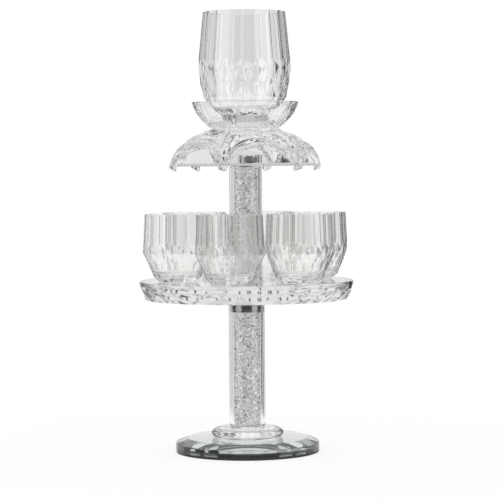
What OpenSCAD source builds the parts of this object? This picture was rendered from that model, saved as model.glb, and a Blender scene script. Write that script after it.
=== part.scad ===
// Kiddush wine fountain of cut crystal, in millimetres, standing on z = 0 with its axis on +Z.
// Wine poured into the bowl runs through the drain holes on to the dome, along a channel to each
// of the six spouts, and drips into the cup that stands below.

/* [Base] */
// Diameter of the glass base
base_diameter = 97.6; // [88:0.1:110]
// Thickness of the glass base
base_thickness = 8.6; // [7.6:0.1:12]
// Height of the plain polished edge below the bevel
base_edge_height = 5.3; // [3:0.1:6.5]
// Width of the cut bevel
base_bevel_width = 8.2; // [4:0.1:12]
// Number of flat facets round the bevel
base_facets = 14; // [8:1:24]
// Thickness of the silvered backing
mirror_thickness = 0.4; // [0.3:0.1:1]
// Distance of the silvering's rim from the glass edge
mirror_inset = 0.8; // [0.3:0.1:3]
// Thickness of the felt pad
felt_thickness = 0.8; // [0.5:0.1:2]
// Distance of the felt's rim from the glass edge
felt_inset = 1.5; // [0.5:0.1:6]

/* [Stem] */
// Diameter of the round foot
foot_diameter = 49; // [40:0.1:60]
// Height of the round foot
foot_height = 7.4; // [5:0.1:12]
// Width of the foot's rounded shoulder
foot_shoulder = 7.5; // [4:0.1:9]
// Height at which the foot is widest
foot_belly = 3; // [1.5:0.1:4.5]
// Outer diameter of the lower tube
lower_tube_diameter = 24.4; // [19:0.1:32]
// Length of the lower tube
lower_tube_length = 85.8; // [60:0.1:120]
// Outer diameter of the upper tube
upper_tube_diameter = 22.2; // [16:0.1:30]
// Length of the upper tube
upper_tube_length = 76.3; // [72:0.1:100]
// Wall of both tubes
tube_wall = 3; // [2.4:0.1:4]
// Gap round the packed chips
chip_gap = 0.05; // [0.02:0.01:0.1]
// Size of a crystal chip
chip_size = 3; // [2.2:0.1:5]
// Depth of the hollows between the chips
chip_relief = 1.8; // [0.4:0.1:2.2]
// Thickness of each clear seal
seal_thickness = 0.5; // [0.3:0.1:1.5]
// Distance of a seal's rim from the tube's outside
seal_inset = 1; // [0.4:0.1:3]

/* [Collar] */
// Distance between the collar and the outside of the lower tube
collar_cover = 1.1; // [0.8:0.05:2]
// Height of the grooved metal collar
collar_height = 8.2; // [4:0.1:14]
// Number of grooves round the collar
collar_grooves = 3; // [1:1:4]
// Depth of a groove
groove_depth = 0.5; // [0.2:0.05:0.8]
// Gap round the collar in its counterbore
collar_gap = 0.05; // [0.02:0.01:0.2]

/* [Stud] */
// Diameter of the stud that holds the plate on the upper tube
stud_diameter = 8; // [6:0.1:9]
// Length of the stud inside the upper tube
stud_depth = 18; // [10:0.5:30]
// Radial clearance of the stud in the plate
stud_clearance = 0.25; // [0.1:0.05:0.6]
// Length of the stud beyond its nut
stud_end = 0.6; // [0.2:0.1:1.5]
// Width of the nut across its flats
nut_width = 13; // [11:0.1:14]
// Height of the nut
nut_height = 3.6; // [2.4:0.1:4.4]
// Diameter of the washer
washer_diameter = 15.4; // [14:0.1:16.4]
// Thickness of the washer
washer_thickness = 0.8; // [0.5:0.1:1.2]

/* [Tray] */
// Width of tray left outside the ring of cups
tray_margin = 0.8; // [0.2:0.1:12]
// Thickness of the tray
tray_thickness = 12.6; // [8:0.1:20]
// Height of the plain lip above the cut side
tray_lip = 3; // [1:0.1:5]
// How much the cut side draws in towards the bottom
tray_draw = 3.8; // [0.5:0.1:8]
// How much the tips of the lower cuts stand out from a straight side
tray_tip = 0.2; // [0:0.1:2]
// Number of cuts round the side
tray_facets = 20; // [12:1:36]

/* [Small cups] */
// Height of a small cup
cup_height = 45.6; // [36:0.1:52]
// Diameter at the rim, across the corners
cup_rim_diameter = 44; // [38:0.1:48]
// Diameter at the shoulder, across the corners
cup_shoulder_diameter = 46.6; // [40:0.1:54]
// Height of the shoulder
cup_shoulder_height = 20; // [15:0.1:24]
// Height at which the upright panels end
cup_panel_height = 26.5; // [25:0.1:32]
// Height at which the lower panels end
cup_diamond_height = 12; // [8:0.1:14]
// Diameter where the taper meets the foot, across the corners
cup_waist_diameter = 32.4; // [30:0.1:37]
// Height of the foot
cup_foot_height = 3.4; // [2:0.1:5]
// Diameter of the foot, across the corners
cup_foot_diameter = 24.4; // [20:0.1:30]
// Wall of the cup
cup_wall = 2.3; // [1.6:0.1:3.5]
// Thickness of the cup's floor
cup_floor = 6; // [4:0.1:7.5]
// Round of the hollow's lower corner
cup_corner = 3; // [1:0.1:5]
// Number of panels round a cup
cup_panels = 16; // [10:1:24]
// Gap between neighbouring cups
cup_gap = 1.9; // [0.6:0.1:10]

/* [Dome] */
// Thickness of the plate that carries the dome
plate_thickness = 1.7; // [1.2:0.1:3]
// Clearance between the plate and the dome
plate_clearance = 0.4; // [0.3:0.05:1]
// Angle by which the dome stands turned from the ring of cups
dome_offset = -4.5; // [-10:0.5:10]
// How far the dome reaches outside the ring of cups
spout_reach = 3.5; // [0:0.05:8]
// How far the spouts hang below the top of the plate
spout_drop = 5.1; // [3.5:0.1:9]
// Height of the dome from the spout tips to the bowl
dome_height = 29; // [28.2:0.1:36]
// Radius of the dome's rounded shoulder
dome_round = 33.3; // [31.5:0.1:36]
// Depth of the centre of that round below the spout tips
dome_round_depth = 5.5; // [4:0.1:7]
// Wall of the dome at the spouts
dome_wall = 4.35; // [3.4:0.05:6]
// Width across the flats of the dome's solid middle, which rests on the plate
core_width = 77; // [76.4:0.1:80]
// Clearance round and above the nut in its pocket under the dome
pocket_clearance = 0.8; // [0.5:0.1:1.5]
// Height of the arch between two spouts, above the spout tips
arch_height = 17.4; // [13:0.1:19]
// Radius of the arch
arch_radius = 25.5; // [22:0.1:26.5]
// Height of the rounded tip of a spout
tip_height = 3.3; // [2:0.1:4.5]
// Width of the wine channel down each spout
channel_width = 5; // [3:0.1:6.5]
// Depth of the wine channel
channel_depth = 1.8; // [0.8:0.1:2.2]

/* [Bowl] */
// Diameter of the bowl's rim
bowl_diameter = 72.6; // [66:0.1:90]
// Height of the bowl
bowl_height = 17.8; // [14:0.1:24]
// Diameter of the bowl's foot
bowl_foot_diameter = 44.8; // [42:0.1:47]
// How far the side bulges from a straight line
bowl_bulge = 2.4; // [1:0.1:3]
// Wall of the bowl
bowl_wall = 3; // [2:0.1:4]
// Thickness of the bowl's floor
bowl_floor = 4.8; // [4:0.1:7]
// Diameter of the drain holes
drain_diameter = 3; // [2:0.1:3.6]
// Distance between the drain holes and the bowl's foot
drain_offset = 0.9; // [0.4:0.1:1.6]
// Diameter of the spigot under the bowl
spigot_diameter = 16; // [10:0.1:24]
// Length of the spigot
spigot_length = 2.2; // [1.5:0.1:3]
// Clearance round and under the spigot
spigot_clearance = 0.3; // [0.3:0.05:0.6]
// Diameter of the raised seat for the main cup
seat_diameter = 30.6; // [24:0.1:36]
// Height of the raised seat
seat_height = 4.1; // [3:0.1:6]

/* [Main cup] */
// Height of the main cup
goblet_height = 69.6; // [60:0.1:90]
// Diameter at the rim, across the corners
goblet_rim_diameter = 56.2; // [48:0.1:60]
// Diameter at the belly, across the corners
goblet_belly_diameter = 62.6; // [54:0.1:70]
// Diameter of the cup's base, across the corners
goblet_base_diameter = 33.6; // [26:0.1:38]
// Height at which the upright panels end
goblet_panel_height = 37.6; // [35:0.1:44]
// Height of the panels' points
goblet_point_height = 31.5; // [28:0.1:33]
// Height of the middle row of corners
goblet_middle_height = 21.5; // [18:0.1:25]
// Height of the lower row of corners
goblet_low_height = 11.5; // [9:0.1:14]
// Height of the heel
goblet_heel_height = 3.6; // [2:0.1:6]
// Diameter at the heel, across the corners
goblet_heel_diameter = 42.4; // [38:0.1:46]
// Wall of the main cup
goblet_wall = 3; // [2:0.1:4]
// Thickness of the main cup's floor
goblet_floor = 5; // [4:0.1:8]
// Number of panels round the main cup
goblet_panels = 18; // [10:1:24]

/* [Hidden] */
$fn = 96;
eps = 0.1;
spouts = 6;
first_cup = -90;
// Gap that stands for the thread between the stud and its nut
thread_gap = 0.05;
// Air left under a small cup that stands on the tray
stand_gap = 0.02;
// Short cones that stand for the dome's round, and flats along a channel's floor
shoulder_steps = 12;
channel_flats = 10;

// Places of the ring of cups, which the tray and the dome follow
cup_ring = (cup_shoulder_diameter + cup_gap) / (2 * sin(180 / spouts));
tray_radius = cup_ring + cup_shoulder_diameter / 2 + tray_margin;
function cup_angle(i) = first_cup + 360 * i / spouts;
function spout_angle(i) = cup_angle(i) + dome_offset;

// Heights of the stack from the table up
mirror_z = felt_thickness;
base_z = mirror_z + mirror_thickness;
foot_z = base_z + base_thickness;
foot_seal_z = foot_z + foot_height;
lower_tube_z = foot_seal_z + seal_thickness;
tray_seal_lower_z = lower_tube_z + lower_tube_length;
tray_z = tray_seal_lower_z + seal_thickness;
cup_z = tray_z + tray_thickness;
tray_seal_upper_z = cup_z;
upper_tube_z = tray_seal_upper_z + seal_thickness;
plate_seal_z = upper_tube_z + upper_tube_length;
plate_z = plate_seal_z + seal_thickness;
plate_top_z = plate_z + plate_thickness;
dome_z = plate_top_z - spout_drop;
bowl_z = dome_z + dome_height;
seat_z = bowl_z + bowl_floor;
goblet_z = seat_z + seat_height;

// Stud and its fastenings, and the bores of the tubes
stud_hole = stud_diameter + 2 * stud_clearance;
stud_z = plate_seal_z - stud_depth;
top_nut_z = plate_top_z + washer_thickness;
stud_top_z = top_nut_z + nut_height + stud_end;
pocket_diameter = max(nut_width / cos(30), washer_diameter) + 2 * pocket_clearance;
pocket_depth = stud_top_z + pocket_clearance - plate_top_z;
collar_diameter = lower_tube_diameter - 2 * collar_cover;
lower_bore = lower_tube_diameter - 2 * tube_wall;
upper_bore = upper_tube_diameter - 2 * tube_wall;

// Dome: a round shoulder about a ring, joined to the flat bowl seat by a tangent cone
dome_radius = cup_ring + spout_reach;
rim_angle = asin(dome_round_depth / dome_round);
round_ring = dome_radius - dome_round * cos(rim_angle);
rebate_radius = dome_radius - dome_wall;
plate_diameter = 2 * (rebate_radius - plate_clearance);
dome_seat = bowl_foot_diameter / 2;
seat_rise = dome_height + dome_round_depth;
seat_lead = round_ring - dome_seat;
seat_distance = sqrt(pow(seat_rise, 2) + pow(seat_lead, 2));
tangent_angle = atan2(seat_rise, -seat_lead) - acos(dome_round / seat_distance);
arch_z = arch_height - arch_radius;
// Half width of a spout's tip where its rounding starts, and the radius of that rounding
tip_half = (dome_radius * sin(180 / spouts) - sqrt(pow(arch_radius, 2) - pow(tip_height - arch_z, 2)))
           / cos(180 / spouts);
tip_radius = (pow(tip_half, 2) + pow(tip_height, 2)) / (2 * tip_height);
drain_ring = dome_seat + drain_offset + drain_diameter / 2;
channel_start = rim_angle - 8;
channel_end = acos((drain_ring - drain_diameter / 2 - round_ring) / dome_round);

// Bowl: its side is part of a circle through the foot's edge and the rim
bowl_run = [(bowl_diameter - bowl_foot_diameter) / 2, bowl_height];
bowl_chord = norm(bowl_run);
bowl_round = (pow(bowl_chord / 2, 2) + pow(bowl_bulge, 2)) / (2 * bowl_bulge);
bowl_centre = [bowl_foot_diameter / 2, 0] + bowl_run / 2
              + [-bowl_run[1], bowl_run[0]] / bowl_chord * (bowl_round - bowl_bulge);

// Rings of corners of the cups, each as radius, height and turn in steps of one panel
function between(low, high, z) = low[0] + (high[0] - low[0]) * (z - low[1]) / (high[1] - low[1]);
cup_waist = [cup_waist_diameter / 2, cup_foot_height];
cup_shoulder = [cup_shoulder_diameter / 2, cup_shoulder_height];
cup_rim = [cup_rim_diameter / 2, cup_height];
cup_rings = [
    [cup_foot_diameter / 2, 0, 0],
    [cup_waist[0], cup_waist[1], 0],
    [between(cup_waist, cup_shoulder, cup_diamond_height), cup_diamond_height, 0],
    [cup_shoulder[0], cup_shoulder[1], 0.5],
    [between(cup_shoulder, cup_rim, cup_panel_height), cup_panel_height, 0],
    [cup_rim[0], cup_rim[1], 0],
];
// The main cup swells from its base to the belly along a quarter of an ellipse
goblet_belly = goblet_belly_diameter / 2;
goblet_base = goblet_base_diameter / 2;
function swell(z) = goblet_base
    + (goblet_belly - goblet_base) * sqrt(1 - pow(1 - min(z / goblet_panel_height, 1), 2.4));
goblet_rings = [
    [goblet_base, 0, 0],
    [goblet_heel_diameter / 2, goblet_heel_height, 0],
    [swell(goblet_low_height), goblet_low_height, 0.5],
    [swell(goblet_middle_height), goblet_middle_height, 0],
    [swell(goblet_point_height), goblet_point_height, 0.5],
    [goblet_belly, goblet_panel_height, 0],
    [goblet_rim_diameter / 2, goblet_height, 0],
];

// Faces between two rings of n corners, of which the upper is turned by half a step or not at all
function band(n, low, turn, i) =
    let (j = (i + 1) % n, a = low * n, b = a + n)
    turn == 0 ? [[a + i, b + i, b + j, a + j]]
    : turn > 0 ? [[a + i, b + i, a + j], [b + i, b + j, a + j]]
    : [[a + i, b + j, a + j], [b + i, b + j, a + i]];

// Solid with flat facets between rings of n corners
module facet_stack(n, rings) {
    top = len(rings) - 1;
    points = [for (ring = rings) for (i = [0 : n - 1])
        let (a = 360 * (i + ring[2]) / n) [ring[0] * cos(a), ring[0] * sin(a), ring[1]]];
    sides = [for (k = [0 : top - 1]) for (i = [0 : n - 1])
        each band(n, k, rings[k + 1][2] - rings[k][2], i)];
    floor_face = [for (i = [0 : n - 1]) i];
    top_face = [for (i = [n - 1 : -1 : 0]) top * n + i];
    polyhedron(points, concat([floor_face], sides, [top_face]));
}

// Ring with a square section
module ring(outer, inner, height) {
    difference() {
        cylinder(d = outer, h = height);
        translate([0, 0, -eps]) cylinder(d = inner, h = height + 2 * eps);
    }
}

// Hollow of a faceted cup: its wall follows the flats, from the floor to the rim
module cup_hollow(n, rings, first, wall, floor_z, corner) {
    flat = cos(180 / n);
    top = len(rings) - 1;
    inner = [for (k = [first : top]) [rings[k][0] * flat - wall, rings[k][1]]];
    low = between(rings[first - 1], rings[first], floor_z + corner) * flat - wall;
    rotate_extrude() polygon(concat(
        [[0, floor_z], [low - corner, floor_z], [low, floor_z + corner]],
        inner,
        [[inner[top - first][0], inner[top - first][1] + eps], [0, inner[top - first][1] + eps]]));
}

module base_felt() {
    color("dimgray") cylinder(d = base_diameter - 2 * felt_inset, h = felt_thickness);
}

module base_mirror() {
    color("silver") translate([0, 0, mirror_z])
        cylinder(d = base_diameter - 2 * mirror_inset, h = mirror_thickness);
}

module base_disc() {
    flat = cos(180 / base_facets);
    radius = base_diameter / 2;
    slope = base_bevel_width / (base_thickness - base_edge_height);
    rings = [
        [(radius + slope * base_edge_height) / flat, 0, 0],
        [(radius - base_bevel_width) / flat, base_thickness, 0],
    ];
    color("lightcyan") translate([0, 0, base_z]) intersection() {
        cylinder(r = radius, h = base_thickness);
        facet_stack(base_facets, rings);
    }
}

module stem_foot() {
    rise = foot_height - foot_belly;
    flat_radius = foot_diameter / 2 - foot_shoulder;
    shoulder = [for (a = [0 : 9 : 90]) [flat_radius + foot_shoulder * cos(a), foot_belly + rise * sin(a)]];
    outline = concat([[0, 0], [(foot_diameter - foot_belly) / 2, 0]], shoulder, [[0, foot_height]]);
    color("lightcyan") translate([0, 0, foot_z]) rotate_extrude() polygon(outline);
}

module seal(z, tube) {
    color("whitesmoke") translate([0, 0, z]) cylinder(d = tube - 2 * seal_inset, h = seal_thickness);
}

module foot_seal() {
    seal(foot_seal_z, lower_tube_diameter);
}

module tray_seal_lower() {
    seal(tray_seal_lower_z, lower_tube_diameter);
}

module tray_seal_upper() {
    seal(tray_seal_upper_z, upper_tube_diameter);
}

module plate_seal() {
    color("whitesmoke") translate([0, 0, plate_seal_z])
        ring(upper_tube_diameter - 2 * seal_inset, stud_hole, seal_thickness);
}

module lower_tube() {
    color("lightcyan") translate([0, 0, lower_tube_z]) difference() {
        ring(lower_tube_diameter, lower_bore, lower_tube_length);
        translate([0, 0, lower_tube_length - collar_height])
            cylinder(d = collar_diameter + 2 * collar_gap, h = collar_height + eps);
    }
}

module upper_tube() {
    color("lightcyan") translate([0, 0, upper_tube_z])
        ring(upper_tube_diameter, upper_bore, upper_tube_length);
}

// Crushed crystal packed in a bore: rows of corners, each drawn in by its own part of the relief
module crushed(bore, height) {
    n = round(PI * bore / chip_size);
    rows = round(height / chip_size);
    dips = rands(0, chip_relief, n * (rows + 1), 7);
    points = [for (k = [0 : rows]) for (i = [0 : n - 1])
        let (a = 360 * (i + (k % 2) / 2) / n,
             dip = k == 0 || k == rows ? chip_relief / 2 : dips[k * n + i],
             r = bore / 2 - chip_gap - dip)
        [r * cos(a), r * sin(a), height * k / rows]];
    sides = [for (k = [0 : rows - 1]) for (i = [0 : n - 1]) each band(n, k, k % 2 == 0 ? 0.5 : -0.5, i)];
    floor_face = [for (i = [0 : n - 1]) i];
    top_face = [for (i = [n - 1 : -1 : 0]) rows * n + i];
    polyhedron(points, concat([floor_face], sides, [top_face]));
}

module lower_chips() {
    color("lightgray") translate([0, 0, lower_tube_z]) crushed(lower_bore, lower_tube_length - collar_height);
}

module upper_chips() {
    color("lightgray") difference() {
        translate([0, 0, upper_tube_z]) crushed(upper_bore, upper_tube_length);
        translate([0, 0, stud_z]) cylinder(d = stud_diameter + 2 * chip_gap, h = stud_depth + eps);
    }
}

module lower_collar() {
    pitch = collar_height / (2 * collar_grooves + 1);
    color("silver") translate([0, 0, lower_tube_z + lower_tube_length - collar_height]) difference() {
        cylinder(d = collar_diameter, h = collar_height);
        for (i = [0 : collar_grooves - 1])
            translate([0, 0, pitch * (2 * i + 1)])
                ring(collar_diameter + 2 * eps, collar_diameter - 2 * groove_depth, pitch);
    }
}

module tray() {
    side = tray_thickness - tray_lip;
    rings = [
        [tray_radius - tray_draw, 0, 0],
        [tray_radius - tray_draw / 2 + tray_tip, side / 2, 0.5],
        [tray_radius, side, 0],
    ];
    color("lightcyan") translate([0, 0, tray_z]) {
        facet_stack(tray_facets, rings);
        translate([0, 0, side]) cylinder(r = tray_radius, h = tray_lip);
    }
}

module dome_plate() {
    color("lightcyan") translate([0, 0, plate_z]) ring(plate_diameter, stud_hole, plate_thickness);
}

module plate_stud() {
    color("gray") translate([0, 0, stud_z]) cylinder(d = stud_diameter, h = stud_top_z - stud_z);
}

module top_washer() {
    color("whitesmoke") translate([0, 0, plate_top_z]) ring(washer_diameter, stud_hole, washer_thickness);
}

module top_nut() {
    color("gray") translate([0, 0, top_nut_z]) difference() {
        cylinder(d = nut_width / cos(30), h = nut_height, $fn = 6);
        translate([0, 0, -eps]) cylinder(d = stud_diameter + 2 * thread_gap, h = nut_height + 2 * eps);
    }
}

// Points of an arc about the centre of the dome's round
function shoulder_arc(radius, low, high) = [for (k = [0 : shoulder_steps])
    let (a = low + (high - low) * k / shoulder_steps)
    [round_ring, -dome_round_depth] + radius * [cos(a), sin(a)]];

// Half section of the dome: a rounded shoulder below the cone that carries the bowl
module dome_outer() {
    polygon(concat([[0, 0]], shoulder_arc(dome_round, rim_angle, tangent_angle),
                   [[dome_seat, dome_height], [0, dome_height]]));
}

// Channel that leads the wine over the dome's shoulder to a spout, with a bottom of short flats
module wine_channel() {
    span = channel_end - channel_start;
    angles = [for (k = [0 : channel_flats]) channel_start + span * k / channel_flats];
    floor_line = [for (a = angles) (dome_round - channel_depth) * [cos(a), sin(a)]];
    sky_line = [for (a = [channel_end, (channel_end + channel_start) / 2, channel_start])
        2 * dome_round * [cos(a), sin(a)]];
    translate([round_ring, channel_width / 2, -dome_round_depth]) rotate([90, 0, 0])
        linear_extrude(channel_width) polygon(concat(floor_line, sky_line));
}

// What is taken off each side of a spout to leave a round tip
module tip_waste() {
    reach = dome_radius - round_ring + eps;
    translate([round_ring, 0, 0]) difference() {
        translate([0, -2 * tip_half, -eps]) cube([reach, 4 * tip_half, tip_height + eps]);
        translate([-eps, 0, tip_radius]) rotate([0, 90, 0]) cylinder(r = tip_radius, h = reach + 2 * eps);
    }
}

module spout_dome() {
    color("lightcyan") translate([0, 0, dome_z]) difference() {
        rotate_extrude() dome_outer();
        translate([0, 0, -eps]) cylinder(r = rebate_radius, h = spout_drop + eps);
        cylinder(d = pocket_diameter, h = spout_drop + pocket_depth);
        for (i = [0 : spouts - 1]) {
            rotate([0, 0, spout_angle(i + 0.5)]) translate([core_width / 2, 0, arch_z]) rotate([0, 90, 0])
                cylinder(r = arch_radius, h = dome_radius);
            rotate([0, 0, spout_angle(i)]) tip_waste();
            rotate([0, 0, spout_angle(i)]) wine_channel();
        }
        translate([0, 0, dome_height - spigot_length - spigot_clearance])
            cylinder(d = spigot_diameter + 2 * spigot_clearance, h = spigot_length + spigot_clearance + eps);
    }
}

module bowl() {
    color("lightcyan") translate([0, 0, bowl_z]) difference() {
        union() {
            rotate_extrude() difference() {
                intersection() {
                    translate(bowl_centre) circle(r = bowl_round, $fn = 240);
                    square([bowl_diameter, bowl_height]);
                }
                intersection() {
                    translate(bowl_centre) circle(r = bowl_round - bowl_wall, $fn = 240);
                    translate([0, bowl_floor]) square([bowl_diameter, bowl_height]);
                }
            }
            translate([0, 0, -spigot_length]) cylinder(d = spigot_diameter, h = spigot_length + eps);
        }
        for (i = [0 : spouts - 1])
            rotate([0, 0, spout_angle(i)]) translate([drain_ring, 0, 0])
                cylinder(d = drain_diameter, h = bowl_height, $fn = 32);
    }
}

module bowl_seat() {
    color("lightcyan") translate([0, 0, seat_z]) cylinder(d = seat_diameter, h = seat_height);
}

module main_cup() {
    color("lightcyan") translate([0, 0, goblet_z]) difference() {
        facet_stack(goblet_panels, goblet_rings);
        cup_hollow(goblet_panels, goblet_rings, 2, goblet_wall, goblet_floor, goblet_wall);
    }
}

module small_cup(i) {
    place = [cup_ring, 0, cup_z + stand_gap];
    color("lightcyan") rotate([0, 0, cup_angle(i)]) translate(place) difference() {
        facet_stack(cup_panels, cup_rings);
        cup_hollow(cup_panels, cup_rings, 3, cup_wall, cup_floor, cup_corner);
    }
}

base_felt();
base_mirror();
base_disc();
stem_foot();
foot_seal();
lower_tube();
lower_chips();
lower_collar();
tray_seal_lower();
tray();
tray_seal_upper();
upper_tube();
upper_chips();
plate_stud();
plate_seal();
dome_plate();
top_washer();
top_nut();
spout_dome();
bowl();
bowl_seat();
main_cup();
small_cup(0);  // cup_1
small_cup(1);  // cup_2
small_cup(2);  // cup_3
small_cup(3);  // cup_4
small_cup(4);  // cup_5
small_cup(5);  // cup_6
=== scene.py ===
"""Cut-crystal wine fountain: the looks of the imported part, in metres, in the part's own frame.

Every new piece is a surface worked out with numpy in millimetres and put into its mesh in metres.
"""
import math

import bpy
import numpy as np
from mathutils import Euler, Matrix


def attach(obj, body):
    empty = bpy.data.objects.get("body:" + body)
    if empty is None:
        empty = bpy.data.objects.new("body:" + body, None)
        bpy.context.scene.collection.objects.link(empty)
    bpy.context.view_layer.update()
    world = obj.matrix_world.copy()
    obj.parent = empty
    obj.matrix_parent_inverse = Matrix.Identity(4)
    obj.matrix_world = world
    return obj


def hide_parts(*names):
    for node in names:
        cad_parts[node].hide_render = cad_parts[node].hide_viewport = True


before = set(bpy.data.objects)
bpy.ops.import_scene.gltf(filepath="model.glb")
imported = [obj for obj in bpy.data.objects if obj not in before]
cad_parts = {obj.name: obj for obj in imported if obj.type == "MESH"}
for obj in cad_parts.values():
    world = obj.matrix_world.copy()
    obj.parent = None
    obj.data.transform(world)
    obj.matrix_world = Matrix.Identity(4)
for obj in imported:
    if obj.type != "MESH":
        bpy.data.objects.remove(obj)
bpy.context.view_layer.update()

MM = 0.001
TURN = 2 * math.pi
WHITE = (1, 1, 1, 1)
rng = np.random.default_rng(394)

# Heights of the stack, in millimetres
BASE_Z = 1.2
FOOT_Z = 9.8
LOWER_TUBE_Z = 17.7
COLLAR_Z = 95.3
TRAY_Z = 104.0
CUP_Z = 116.6
UPPER_TUBE_Z = 117.1
UPPER_CHIPS_TOP = 193.4
PLATE_Z = 193.9
PLATE_TOP = 195.6
WASHER_HEIGHT = 0.8
DOME_Z = 190.5
BOWL_Z = 219.5
SEAT_Z = 224.3
GOBLET_Z = 228.4
STUD_Z = 175.4
STUD_TOP = 200.6

STUD_HOLE = 4.25
LOWER_BORE = 9.2
UPPER_BORE = 8.1
CUP_RING = 48.5
SPOUTS = 6
FIRST_CUP = math.radians(-90)
FIRST_SPOUT = math.radians(-94.5)
# Air left between pieces that touch, so that two polished faces never lie in one plane
LIFT = 0.06
# Overlap of the base glass and the silvering, which leaves no air between them
SINK = 0.05


def spread(start, stop, count):
    """Evenly spaced values from start to stop."""
    return np.linspace(start, stop, count)


def angles_round(columns):
    """Evenly spaced angles of one turn, in radians."""
    return spread(0, TURN, columns + 1)[:-1]


def round_grid(r, a, z):
    """Grid of points (r cos a, r sin a, z), with r, a and z spread over the same rows and columns."""
    r, a, z = np.broadcast_arrays(r, a, z)
    return np.stack([r * np.cos(a), r * np.sin(a), z], axis=2)


def arc(centre, radius, start, stop, count):
    """Points of a circle's arc in a half section, from one angle in degrees to another."""
    a = np.radians(spread(start, stop, count))
    return np.stack([centre[0] + radius * np.cos(a), centre[1] + radius * np.sin(a)], axis=1)


def soft_step(t):
    """Smooth rise from 0 to 1 as t goes from 0 to 1: 3 t squared less 2 t cubed."""
    t = np.clip(t, 0, 1)
    return t * t * (3 - 2 * t)


def ring_faces(rows, columns, closed):
    """Faces of a grid whose columns close into a ring: each cell joins two rows and two columns.

    With closed set, the last row joins the first.
    """
    i, j = np.meshgrid(np.arange(rows if closed else rows - 1), np.arange(columns), indexing="ij")
    k = (j + 1) % columns
    up = (i + 1) % rows
    cells = np.stack([i * columns + j, i * columns + k, up * columns + k, up * columns + j], axis=-1)
    return cells.reshape(-1, 4)


def fan_faces(pole, first, columns, upward):
    """Triangles that close a row of columns to one pole."""
    j = np.arange(columns)
    k = (j + 1) % columns
    pole = np.full(columns, pole)
    if upward:
        return np.stack([first + j, first + k, pole], axis=1)
    return np.stack([pole, first + k, first + j], axis=1)


def surface(grid, start=None, end=None):
    """Closed surface from a grid of points (rows, columns, 3).

    start and end are pole points before the first row and after the last; with neither, the last row
    joins the first, as on a ring.
    """
    rows, columns = grid.shape[:2]
    points = [grid.reshape(-1, 3)]
    faces = ring_faces(rows, columns, start is None and end is None).tolist()
    count = rows * columns
    if start is not None:
        points.append(np.reshape(start, (1, 3)))
        faces += fan_faces(count, 0, columns, False).tolist()
        count += 1
    if end is not None:
        points.append(np.reshape(end, (1, 3)))
        faces += fan_faces(count, (rows - 1) * columns, columns, True).tolist()
    return np.concatenate(points), faces


def turned(profile, columns):
    """Half section carried round the axis: point (r, z) goes to (r cos a, r sin a, z).

    A section that starts or ends on the axis is closed there by a pole.
    """
    profile = np.asarray(profile, float)
    on_axis = profile[:, 0] < 1e-9
    start = [0, 0, profile[0, 1]] if on_axis[0] else None
    end = [0, 0, profile[-1, 1]] if on_axis[-1] else None
    section = profile[~on_axis]
    return surface(round_grid(section[:, :1], angles_round(columns), section[:, 1:]), start, end)


def joined(*shapes):
    """Several shapes as one list of points and one of faces."""
    points, faces, count = [], [], 0
    for shape_points, shape_faces in shapes:
        points.append(shape_points)
        faces += [[count + v for v in face] for face in shape_faces]
        count += len(shape_points)
    return np.concatenate(points), faces


def moved(shape, offset, angle=0.0):
    """A shape turned about the axis and then shifted."""
    points, faces = shape
    c, s = math.cos(angle), math.sin(angle)
    turn = np.array([[c, -s, 0], [s, c, 0], [0, 0, 1]])
    return points @ turn.T + np.asarray(offset, float), faces


def raised(shape, height):
    """A shape shifted up the axis."""
    return moved(shape, (0, 0, height))


def add_piece(name, shape, material, body, nodes, bevel=None, crease=30):
    """Puts a shape into a mesh, smooth except along sharp creases, and ties it to its body.

    bevel is the width in millimetres of the polished round along every edge.
    """
    points, faces = shape
    mesh = bpy.data.meshes.new(name)
    mesh.from_pydata((points * MM).tolist(), [], faces)
    mesh.validate()
    mesh.materials.append(material)
    mesh.polygons.foreach_set("use_smooth", np.ones(len(mesh.polygons), bool))
    mesh.set_sharp_from_angle(angle=math.radians(crease))
    piece = bpy.data.objects.new(name, mesh)
    bpy.context.scene.collection.objects.link(piece)
    if bevel:
        mesh.set_sharp_from_angle(angle=math.pi)
        edge = piece.modifiers.new("polished_edges", "BEVEL")
        edge.width = bevel * MM
        edge.segments = 2
        edge.limit_method = "ANGLE"
        edge.angle_limit = math.radians(8)
        flat = piece.modifiers.new("flat_facets", "WEIGHTED_NORMAL")
        flat.weight = 80
    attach(piece, body)
    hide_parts(*nodes)
    return piece


def face_rows(piece, field):
    """Centres or normals of a piece's faces, one row a face."""
    values = np.zeros(3 * len(piece.data.polygons))
    piece.data.polygons.foreach_get(field, values)
    return values.reshape(-1, 3)


def second_finish(piece, material, chosen):
    """Gives the chosen faces of a piece a second material."""
    piece.data.materials.append(material)
    piece.data.polygons.foreach_set("material_index", chosen.astype(np.int32))


def mark(piece, name, values, domain="POINT"):
    """Keeps one value a point, or a face, under a name that a material reads."""
    kept = piece.data.attributes.new(name, "FLOAT", domain)
    kept.data.foreach_set("value", values.astype(np.float32))


# Materials

def add_node(tree, kind, sockets, **fields):
    """New node with its own fields set; each socket takes a value or another node's output."""
    node = tree.nodes.new(kind)
    for field, value in fields.items():
        setattr(node, field, value)
    for socket, value in sockets.items():
        if isinstance(value, bpy.types.NodeSocket):
            tree.links.new(value, node.inputs[socket])
        else:
            node.inputs[socket].default_value = value
    return node


def reckon(tree, operation, *values, **fields):
    """Result of one operation on values and other nodes' outputs."""
    node = add_node(tree, "ShaderNodeMath", dict(enumerate(values)), operation=operation, **fields)
    return node.outputs[0]


def blend(tree, share, first, second):
    """Colour that goes from the first to the second as share goes from 0 to 1."""
    node = add_node(tree, "ShaderNodeMix", {"Factor": share, "A": first, "B": second}, data_type="RGBA")
    return node.outputs["Result"]


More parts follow.
